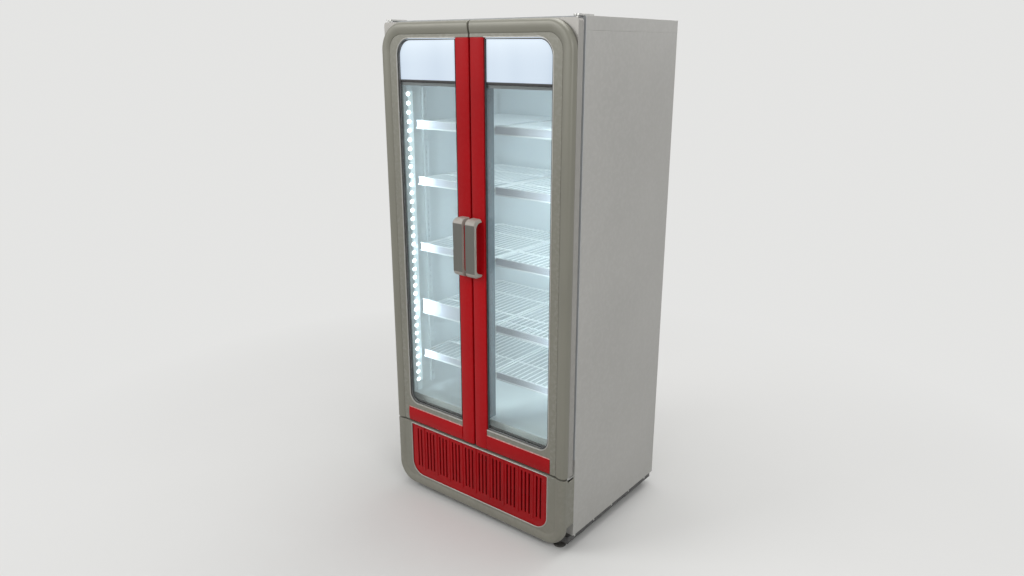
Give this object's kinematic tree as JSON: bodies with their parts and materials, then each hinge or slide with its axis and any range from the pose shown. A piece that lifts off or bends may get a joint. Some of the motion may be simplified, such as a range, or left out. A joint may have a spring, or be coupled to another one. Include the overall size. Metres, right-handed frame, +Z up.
{
  "type": "double-door drinks cooler",
  "caption": "Upright shop drinks cooler with hinged glass doors, loop handles, lit headers, wire shelves and a louvred lower panel.",
  "frame": {"origin": "on the floor under the middle of the cooler's box, handles counted in", "axes": "+Z up, +Y towards the back, +X to the right of someone facing the doors"},
  "size_m": [0.9, 0.748, 1.999],
  "materials": {
    "cabinet_steel": "satin light grey paint on steel sheet",
    "liner_white": "satin white paint",
    "dark_plastic": "matt black plastic",
    "black_steel": "semi-matt black paint",
    "silver_moulding": "satin silver-grey lacquer on a moulding",
    "red_moulding": "glossy deep red plastic",
    "bare_aluminium": "bare finned aluminium",
    "zinc_plate": "zinc-plated steel",
    "coated_wire": "white coated steel wire",
    "ticket_plastic": "white plastic strip",
    "light_lens": "milky lens over a row of white lights",
    "core_aluminium": "satin anodised aluminium",
    "header_lens": "pale bluish white lit panel, bare",
    "clear_glass": "clear float glass, faintly green at its edges",
    "spacer_grey": "dull aluminium spacer bar",
    "seal_rubber": "soft dark grey magnetic seal",
    "handle_grey": "satin grey-beige plastic"
  },
  "bodies": {
    "cabinet": {"left_wall": "cabinet_steel", "right_wall": "cabinet_steel", "rear_wall": "cabinet_steel", "top_wall": "cabinet_steel", "insulated_floor": "cabinet_steel", "inner_liner": "liner_white", "centre_mullion": "liner_white", "mouth_strip": "dark_plastic", "base_tray": "black_steel", "levelling_feet": "dark_plastic", "lower_panel": "silver_moulding", "louvre_grille": "red_moulding", "compressor": "black_steel", "condenser": "bare_aluminium", "rear_grille": "cabinet_steel", "shelf_pilasters": "liner_white", "shelf_clips": "zinc_plate", "left_shelves": "coated_wire", "right_shelves": "coated_wire", "ticket_rails": "ticket_plastic", "light_strips": "light_lens", "evaporator_cover": "liner_white", "hinge_plates": "zinc_plate"},
    "left_door": {"left_door_core": "core_aluminium", "left_door_frame": "silver_moulding", "left_stile": "red_moulding", "left_rail": "red_moulding", "left_transom": "dark_plastic", "left_header_panel": "header_lens", "left_header_housing": "liner_white", "left_glass": "clear_glass", "left_glass_spacer": "spacer_grey", "left_seal": "seal_rubber", "left_handle": "handle_grey"},
    "right_door": {"right_door_core": "core_aluminium", "right_door_frame": "silver_moulding", "right_stile": "red_moulding", "right_rail": "red_moulding", "right_transom": "dark_plastic", "right_header_panel": "header_lens", "right_header_housing": "liner_white", "right_glass": "clear_glass", "right_glass_spacer": "spacer_grey", "right_seal": "seal_rubber", "right_handle": "handle_grey"}
  },
  "joints": [
    {"name": "left_door_hinge", "type": "hinge", "parent": "cabinet", "child": "left_door", "pos_m": [-0.434, -0.293, 1], "axis": [0, 0, -1], "range_deg": [0, 100], "stiffness_Nm_per_rad": 1.2, "springref_deg": -8.59},
    {"name": "right_door_hinge", "type": "hinge", "parent": "cabinet", "child": "right_door", "pos_m": [0.434, -0.293, 1], "axis": [0, 0, 1], "range_deg": [0, 100], "stiffness_Nm_per_rad": 1.2, "springref_deg": -8.59}
  ]
}
